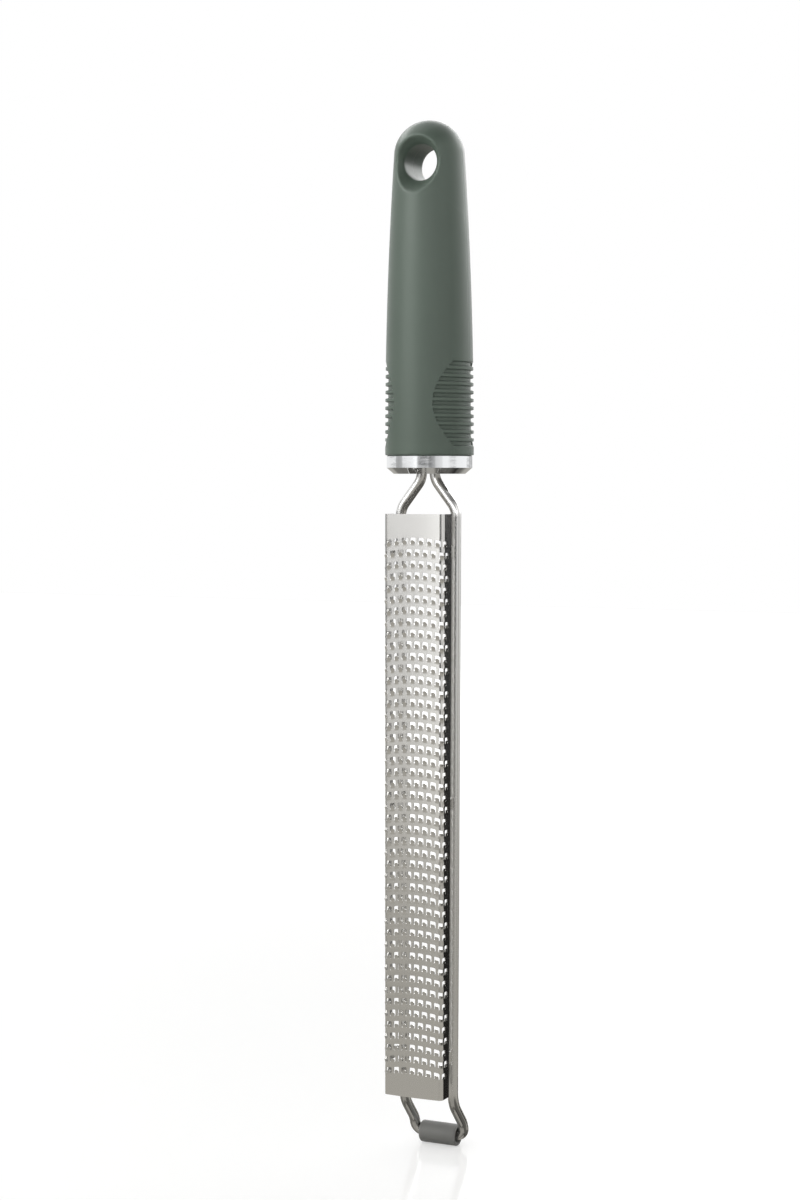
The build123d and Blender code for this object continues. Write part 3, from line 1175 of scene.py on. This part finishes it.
    def wrap(self, recipe: Recipe) -> Node:
        """The formula that carries a point of the flat sheet to its place on the channel.

        Args:
            recipe: the tree that it is written in.

        Returns:
            The node that holds the new position.
        """
        across, depth, along = recipe.place()
        side = across.math("SIGN")
        reach = across.size()
        length = recipe.size("Length")
        down = 1.0 - along / length
        crown, fold = recipe.size("Crown radius"), recipe.size("Fold radius")
        crown_reach, fold_reach = recipe.size("Crown reach"), recipe.size("Fold reach")
        crown_turn = reach.at_most(crown_reach) / crown
        fold_start = crown_reach / crown
        fold_turn = (reach - crown_reach).at_least(0.0).at_most(fold_reach) / fold
        fold_end = fold_start + fold_turn
        turn = crown_turn + fold_turn
        beyond = (reach - crown_reach - fold_reach).at_least(0.0)
        drawn_in = (beyond - recipe.size("Taper start")).at_least(0.0) * down * recipe.size("Taper share")
        x = crown * crown_turn.sin() + fold * (fold_end.sin() - fold_start.sin())
        y = crown - crown * crown_turn.cos() - fold * (fold_end.cos() - fold_start.cos()) + beyond - drawn_in
        x = (x - depth * turn.sin()) * side * (1.0 - down * recipe.size("Narrowing"))
        y = y + depth * turn.cos() + recipe.size("Front") - down * recipe.size("Lean")
        arc = recipe.size("Row arc")
        bow = arc - (arc * arc - x * x).math("SQRT")
        above = (length - along) / (length - recipe.size("Upper border"))
        below = along / recipe.size("Lower border")
        z = along - bow * above.at_most(below).at_most(1.0) + recipe.size("Base")
        return recipe.add("ShaderNodeCombineXYZ", X=x, Y=y, Z=z)

    def build(self) -> None:
        """Makes the blade and lets it stand for its CAD node."""
        tile, plain = self.tile(), self.plain_sheet()
        piece = new_piece("blade_sheet", *joined(tile, plain))
        tagged = piece.data.attributes.new("tile", "FLOAT", "POINT")
        tagged.data.foreach_set("value", [1.0] * len(tile[0]) + [0.0] * len(plain[0]))
        self.tooth_recipe().run(piece)
        weld(piece, 0.002 * MM)
        shade(piece, 32)
        settle(piece, Body.TOOL, Slot.BLADE, "blade")


@dataclass
class Lugs:
    """The small plates that join the blade's folded edges to the wire."""

    count: int = 3
    width: float = 4.5 * MM
    margin: float = 10.2 * MM
    sheet: float = 0.5 * MM
    inset: float = 0.03 * MM
    blade_width: float = 20.76 * MM
    flange_back: float = -5.6 * MM
    flange_taper: float = 1.2 * MM
    lap: float = 0.4 * MM
    wire_front: float = -2.05 * MM
    waist_share: float = 0.72
    waist_steps: int = 8
    slant: float = 1.15 * MM

    def outline(self, share_up: float) -> list[tuple[float, float]]:
        """The plate's outline seen from the side: Y and Z, drawn in at its waist.

        Args:
            share_up: how far up the blade the plate sits, 0 to 1.

        Returns:
            Its corners.
        """
        half = self.width / 2
        start = self.flange_back - self.flange_taper * (1 - share_up) - self.lap
        edge = []
        for index in range(self.waist_steps + 1):
            share = index / self.waist_steps
            pull = 1 - (1 - self.waist_share) * math.sin(share * math.pi)
            edge.append((blend_between(start, self.wire_front, share), half * pull))
        return edge + [(y, -z) for y, z in reversed(edge)]

    def build(self) -> None:
        """Makes all lugs as one piece."""
        low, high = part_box("blade")
        first = low.z + self.margin + self.width / 2
        step = (high.z - low.z - 2 * self.margin - self.width) / (self.count - 1)
        shape = bmesh.new()
        for index in range(self.count):
            middle = first + index * step
            outline = self.outline((middle - low.z) / (high.z - low.z))
            for side in (-1, 1):
                outer = side * (self.blade_width / 2 - self.inset)
                front = outline[0][0]
                pull = side * self.slant / (self.wire_front - front)
                face = shape.faces.new([shape.verts.new((outer - pull * (y - front), y, middle + z))
                                        for y, z in outline])
                grown = bmesh.ops.extrude_face_region(shape, geom=[face])
                moved = [part for part in grown["geom"] if isinstance(part, bmesh.types.BMVert)]
                bmesh.ops.translate(shape, verts=moved, vec=(-side * self.sheet, 0, 0))
        piece = new_piece("blade_lugs", [], [])
        bmesh.ops.recalc_face_normals(shape, faces=shape.faces)
        shape.to_mesh(piece.data)
        shape.free()
        piece.data.materials.append(FINISHES[Slot.BLADE].make())
        shade(piece, 40)
        settle(piece, Body.TOOL, Slot.BLADE)


# The foot


@dataclass
class Sleeve:
    """The soft tube on the crossbar: rounded ends and a bore that opens towards both ends."""

    radius: float = 3.55 * MM
    bore: float = 2.2 * MM
    mouth: float = 2.72 * MM
    mouth_depth: float = 2.6 * MM
    edge: float = 0.55 * MM
    lip: float = 0.12 * MM
    side_steps: tuple[float, ...] = (0.0, 0.3, 0.6, 0.85)
    edge_steps: int = 6
    lip_steps: int = 3
    segments: int = 72

    def profile(self, half: float) -> list[tuple[float, float]]:
        """The wall's outline from its middle out over one end and back in: X and radius.

        Args:
            half: half of the sleeve's length.

        Returns:
            The outline's points.
        """
        points = [(half * share, self.radius) for share in self.side_steps]
        for index in range(self.edge_steps + 1):
            turn = QUARTER * index / self.edge_steps
            points.append((half - self.edge * (1 - math.sin(turn)),
                           self.radius - self.edge * (1 - math.cos(turn))))
        for index in range(self.lip_steps + 1):
            turn = QUARTER * index / self.lip_steps
            points.append((half - self.lip * (1 - math.cos(turn)),
                           self.mouth + self.lip * (1 - math.sin(turn))))
        points += [(half - self.mouth_depth, self.bore), (0.0, self.bore)]
        return points

    def build(self) -> None:
        """Turns the sleeve round the crossbar and lets it stand for its CAD node."""
        low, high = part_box("foot_sleeve")
        middle = (low + high) / 2
        outline = self.profile((high.x - low.x) / 2)
        outline += [(-x, radius) for x, radius in reversed(outline[1:-1])]
        points: list[Vector] = []
        for step in range(self.segments):
            turn = 2 * math.pi * step / self.segments
            points += [middle + Vector((x, radius * math.cos(turn), radius * math.sin(turn)))
                       for x, radius in outline]
        faces = grid_faces(self.segments, len(outline), ring_rows=True, ring_columns=True)
        piece = new_piece("foot_tube", points, faces)
        piece.data.materials.append(FINISHES[Slot.SLEEVE].make())
        weld(piece, 0.001 * MM)
        shade(piece, 40)
        settle(piece, Body.FOOT, Slot.SLEEVE, "foot_sleeve")


# Carried-over pieces and the studio


@dataclass
class KeptNodes:
    """The CAD nodes whose own shape shows: they only get their finish."""

    finishes: dict[str, Slot] = field(default_factory=lambda: {
        "handle_core": Slot.CORE,
        "collar": Slot.COLLAR,
        "wire_frame": Slot.WIRE,
        "foot_wire": Slot.WIRE,
    })

    def dress(self) -> None:
        """Puts each node's finish on it."""
        for name, slot in self.finishes.items():
            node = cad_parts[name]
            node.data.materials.clear()
            node.data.materials.append(FINISHES[slot].make())
            log.info("%s keeps its shape", name)


@dataclass(frozen=True)
class Patch:
    """A soft-edged patch of the directions that gloss can look in.

    Attributes:
        middle: the bearing of its middle, in degrees.
        half: half of its width, in degrees.
        soft: how much wider its edge fades, in degrees.
        fade_in: the rise at which it starts and the rise at which it is full.
        fade_out: the rise at which it has ended and the rise down to which it is full.
        strength: its share in its middle.
    """

    middle: float
    half: float
    soft: float
    fade_in: tuple[float, float]
    fade_out: tuple[float, float] = (3.0, 2.0)
    strength: float = 1.0

    def share(self, bearing: Formula, z: Formula) -> Formula:
        """How much of the patch lies in a direction.

        Args:
            bearing: the direction's bearing in degrees.
            z: its rise, -1 to 1.

        Returns:
            The share, 0 to the patch's strength.
        """
        away = (bearing - self.middle).size()
        across = away.at_most(360.0 - away).ramp(self.half + self.soft, self.half)
        return across * z.ramp(*self.fade_in) * z.ramp(*self.fade_out) * self.strength


@dataclass
class Studio:
    """The pale floor, the soft surroundings, the lamps and the camera."""

    image_height: float = 1200.0
    focal_pixels: float = 2290.0
    sensor: float = 36.0
    distance: float = 760.0 * MM
    camera_height: float = -104.6 * MM
    camera_degrees: float = 25.0
    aim_pixels: float = 29.5
    shift: float = -0.1
    view_range: tuple[float, float] = (0.01, 50.0)
    floor_size: float = 6.0
    floor_color: Color = (0.8, 0.8, 0.79)
    floor_roughness: float = 0.12
    floor_glow: float = 0.45
    soft_light: float = 0.62
    backdrop: tuple[float, float] = (0.1, 0.9)
    backdrop_light: float = 1.1
    overhead: tuple[float, float] = (0.3, 0.9)
    overhead_drop: float = 0.6
    ground: Stops = (
        (-1.0, 0.38), (-0.975, 0.38), (-0.955, 0.13), (-0.9, 0.13), (-0.87, 0.4), (-0.74, 0.34),
        (-0.5, 0.4), (-0.259, 0.46), (-0.238, 0.43), (-0.201, 0.36), (-0.18, 0.42), (-0.14, 0.59),
        (-0.099, 0.715), (-0.026, 0.77), (0.0, 0.85),
    )
    blade_walls: Stops = (
        (-180, 1.1), (-120, 0.9), (-100, 0.25), (-85, 0.25), (-70, 0.45), (-45, 0.7), (-36, 0.93),
        (-34, 0.95), (-25, 1.02), (-19, 1.25), (-11, 1.6), (-6, 0.4), (0, 0.06), (28, 0.06), (40, 0.6),
        (60, 1.1), (75, 1.25), (84, 0.5), (96, 0.5), (105, 1.1), (143, 1.3), (180, 1.2),
    )
    ground_tint: Color = (1.0, 0.965, 0.885)
    tint_rise: tuple[float, float] = (-0.03, -0.22)
    foot_glow: Patch = Patch(-155, 55, 20, (-0.86, -0.9), strength=0.38)
    bevel_right: Patch = Patch(112, 58, 14, (-0.42, -0.54), (-0.975, -0.95), 0.66)
    bevel_left: Patch = Patch(-100, 34, 8, (-0.42, -0.54), (-0.975, -0.95), 0.495)
    neck_left: Patch = Patch(-105, 50, 8, (0.1, 0.16), (0.5, 0.42), 0.88)
    neck_front: Patch = Patch(20, 32, 10, (0.2, 0.28), strength=0.88)
    card: Patch = Patch(156, 9, 4, (-0.9, -0.7), (0.12, 0.07), 0.97)
    collar_walls: Stops = (
        (-180, 0.5), (-160, 0.5), (-154, 0.9), (-79, 1.0), (-76, 0.55), (-65, 0.42), (-55, 0.55),
        (-52, 1.05), (-10, 1.05), (-6, 0.75), (15, 0.72), (20, 0.9), (25, 0.5), (38, 0.45), (42, 0.75),
        (58, 0.8), (62, 1.0), (156, 1.0), (163, 0.6), (180, 0.5),
    )
    grip_walls: Stops = (
        (-180, 4.4), (-150, 4.6), (-125, 6.0), (-100, 6.8), (-68, 6.5), (-50, 6.2), (-12, 6.5), (0, 6.5),
        (30, 6.0), (52, 2.6), (75, 1.1), (110, 0.9), (140, 2.6), (160, 4.4), (180, 4.4),
    )
    grip_rise: tuple[float, float] = (0.08, 0.2)
    ceiling: tuple[float, float] = (0.45, 0.75)
    ceiling_drop: float = 0.8
    blade_rise: tuple[float, float] = (-0.24, -0.04)
    collar_band: Patch = Patch(0, 180, 1, (0.001, 0.003), (0.017, 0.013))
    key_bearing: float = -50.0
    key_height: float = 0.5
    key_distance: float = 1.3
    key_aim: float = -0.12
    key_power: float = 5.0
    key_size: float = 0.8

    def camera(self) -> None:
        """Stands the camera at the photograph's angle: level, with a small fall of the lens."""
        turn = math.radians(self.camera_degrees)
        aside = math.atan(self.aim_pixels / self.focal_pixels)
        data = bpy.data.cameras.new("camera")
        data.sensor_width = self.sensor
        data.lens = self.focal_pixels / self.image_height * self.sensor
        data.shift_y = self.shift
        data.clip_start, data.clip_end = self.view_range
        camera = bpy.data.objects.new("camera", data)
        camera.location = (self.distance * math.sin(turn), -self.distance * math.cos(turn),
                           self.camera_height)
        camera.rotation_euler = (QUARTER, 0, turn + aside)
        bpy.context.scene.collection.objects.link(camera)
        bpy.context.scene.camera = camera

    def floor(self) -> None:
        """Lays the pale floor that the foot touches; the camera sees it as white with its soft shadow."""
        low = cad_box[0].z
        half = self.floor_size / 2
        corners = [Vector((x * half, y * half, low)) for x, y in ((-1, -1), (1, -1), (1, 1), (-1, 1))]
        floor = new_piece("floor", corners, [(0, 1, 2, 3)])
        material = bpy.data.materials.new("pale_floor")
        material.use_nodes = True
        tree = material.node_tree
        surface = tree.nodes["Principled BSDF"]
        surface.inputs["Base Color"].default_value = (*self.floor_color, 1)
        surface.inputs["Roughness"].default_value = self.floor_roughness
        surface.inputs["Emission Color"].default_value = (1, 1, 1, 1)
        seen = add_node(tree, "ShaderNodeLightPath").outputs["Is Camera Ray"]
        feed(tree, surface.inputs["Emission Strength"], Formula(tree, seen) * self.floor_glow)
        floor.data.materials.append(material)
        floor.visible_glossy = False

    def panels(self, bearing: Formula, z: Formula) -> Formula:
        """What glossy surfaces see: white walls with darker gaps, a ceiling and a dimmer ground.

        Args:
            bearing: the direction's bearing in degrees, 0 in front of the teeth.
            z: the direction's rise, -1 to 1.

        Returns:
            The brightness in each direction.
        """
        change = along_stops(bearing, self.blade_walls) - 1.0
        low = along_stops(z, self.ground).at_least(self.foot_glow.share(bearing, z))
        low = low * (1.0 - self.bevel_right.share(bearing, z).at_least(self.bevel_left.share(bearing, z)))
        low = low * (change * z.ramp(*self.blade_rise) + 1.0)
        high = along_stops(bearing, self.grip_walls) * (1.0 - z.ramp(*self.ceiling) * self.ceiling_drop)
        high = high * (1.0 - self.neck_left.share(bearing, z).at_least(self.neck_front.share(bearing, z)))
        light = low + (high - low) * z.ramp(*self.grip_rise)
        light = light * (1.0 - self.card.share(bearing, z))
        collar = along_stops(bearing, self.collar_walls)
        return light + (collar - light) * self.collar_band.share(bearing, z)

    def surroundings(self) -> None:
        """The world: white where the camera looks, panels in the gloss, plain soft light elsewhere."""
        world = bpy.data.worlds.new("studio")
        world.use_nodes = True
        bpy.context.scene.world = world
        tree = world.node_tree
        tree.nodes.clear()
        x, y, z = coordinates(tree, "Generated")
        bearing = x.math("ARCTAN2", y * -1.0) * (180 / math.pi)
        turn = math.radians(self.camera_degrees)
        behind = (y * math.cos(turn) - x * math.sin(turn)).ramp(*self.backdrop)
        path = add_node(tree, "ShaderNodeLightPath")
        seen, gloss = (Formula(tree, path.outputs[name]) for name in ("Is Camera Ray", "Is Glossy Ray"))
        through = Formula(tree, path.outputs["Is Transmission Ray"])
        below = 1.0 - z.ramp(*self.overhead) * self.overhead_drop
        soft = (behind * self.backdrop_light + self.soft_light) * below
        other = 1.0 - seen.at_least(gloss).at_least(through)
        strength = self.panels(bearing, z) * gloss + seen.at_least(through) + soft * other
        warmth = color_between(tree, gloss * z.ramp(*self.tint_rise), (1, 1, 1), self.ground_tint)
        back = add_node(tree, "ShaderNodeBackground", Strength=strength, Color=warmth)
        end = tree.nodes.new("ShaderNodeOutputWorld")
        tree.links.new(back.outputs[0], end.inputs["Surface"])

    def key_lamp(self) -> None:
        """Hangs one soft square lamp that looks at the tool."""
        data = bpy.data.lights.new("key", "AREA")
        data.energy = self.key_power
        data.size = self.key_size
        lamp = bpy.data.objects.new("key", data)
        turn = math.radians(self.key_bearing)
        lamp.location = (self.key_distance * math.sin(turn), -self.key_distance * math.cos(turn),
                         self.key_height)
        aim = Vector((0, 0, self.key_aim)) - lamp.location
        lamp.rotation_euler = aim.to_track_quat("-Z", "Y").to_euler()
        lamp.visible_camera = False
        lamp.visible_glossy = False
        bpy.context.scene.collection.objects.link(lamp)

    def build(self) -> None:
        """Sets up the whole studio."""
        self.camera()
        self.floor()
        self.surroundings()
        self.key_lamp()
        bpy.context.scene.view_settings.view_transform = "Standard"


def main() -> None:
    """Builds every part of the scene in order."""
    logging.basicConfig(level=logging.INFO)
    Studio().build()
    Grip().build()
    Blade().build()
    Lugs().build()
    Sleeve().build()
    KeptNodes().dress()


if __name__ == "__main__":
    main()
